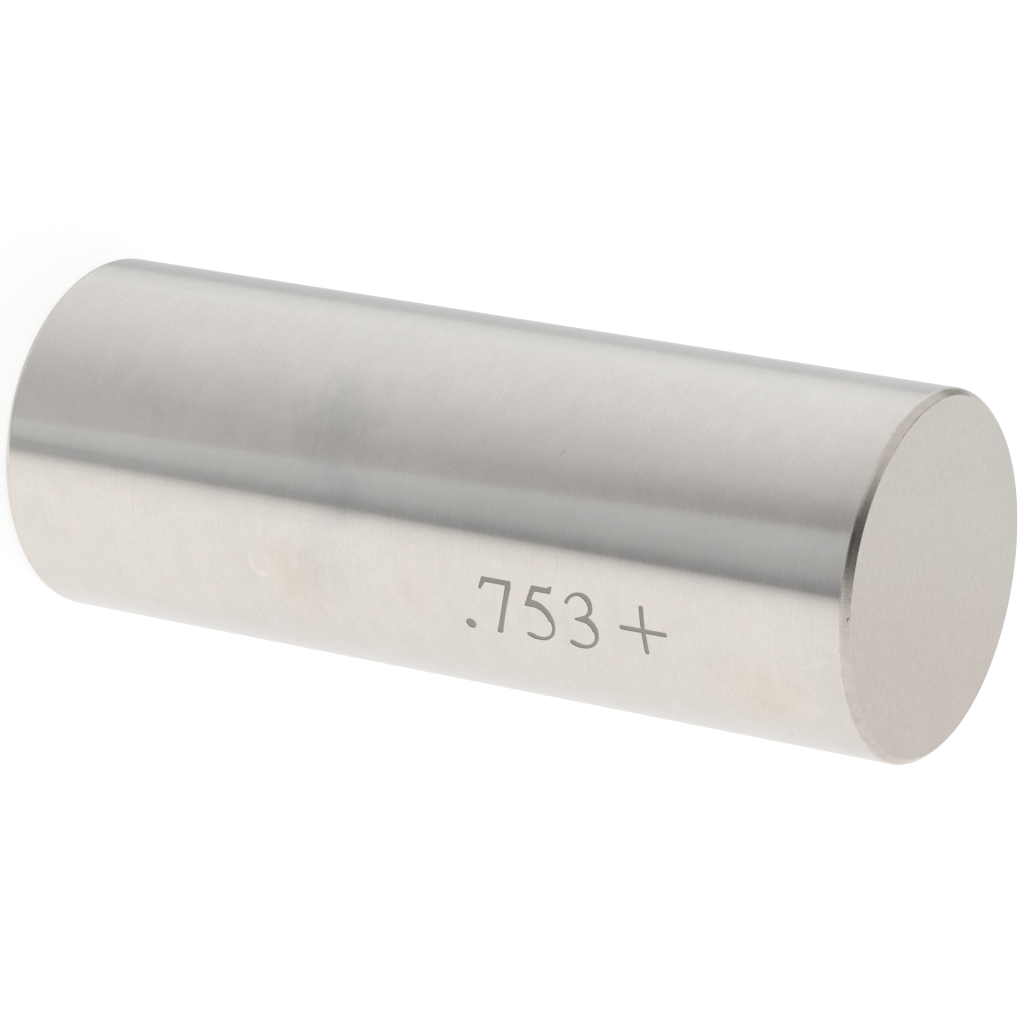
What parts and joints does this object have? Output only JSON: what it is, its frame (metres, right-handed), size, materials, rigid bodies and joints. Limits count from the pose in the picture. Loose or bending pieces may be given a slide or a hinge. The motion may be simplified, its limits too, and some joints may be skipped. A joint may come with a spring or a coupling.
{
  "type": "pin gauge",
  "caption": "Plain cylindrical pin gauge: a solid ground steel pin with chamfered ends and its size engraved along one side.",
  "frame": {"origin": "centre of the lower end face", "axes": "+Z along the pin's axis, from the lower end face to the upper one; the engraved number faces -Y and reads upwards"},
  "size_m": [0.0192, 0.0192, 0.0508],
  "materials": {
    "ground_steel": "ground and lapped, with a fine round-the-pin grain and duller end faces"
  },
  "bodies": {
    "root": {"gauge_pin": "ground_steel"}
  },
  "joints": []
}
